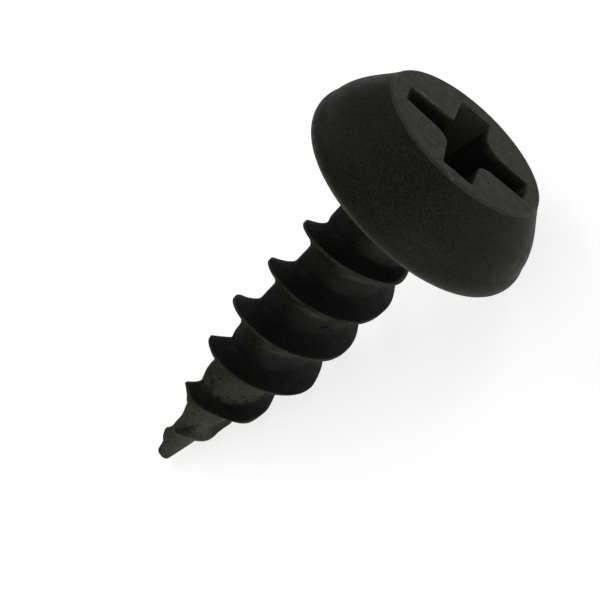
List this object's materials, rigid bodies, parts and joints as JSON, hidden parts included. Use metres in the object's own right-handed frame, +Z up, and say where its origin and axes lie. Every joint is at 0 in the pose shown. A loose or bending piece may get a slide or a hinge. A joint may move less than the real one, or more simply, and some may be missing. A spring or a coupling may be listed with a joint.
{
  "type": "drywall screw",
  "caption": "Short black self-tapping framing screw with a flat-topped pan head, cross recess, twin-lead sharp thread and tapered point.",
  "frame": {"origin": "middle of the bounding box's foot, on the surface that the screw lies on", "axes": "+Z up from that surface, +X from the point towards the head, +Y across; the screw's own axis lies in the XZ plane, its head end raised"},
  "size_m": [0.014, 0.007, 0.0069],
  "materials": {
    "black_phosphate_steel": "satin"
  },
  "bodies": {
    "root": {"screw": "black_phosphate_steel"}
  },
  "joints": []
}
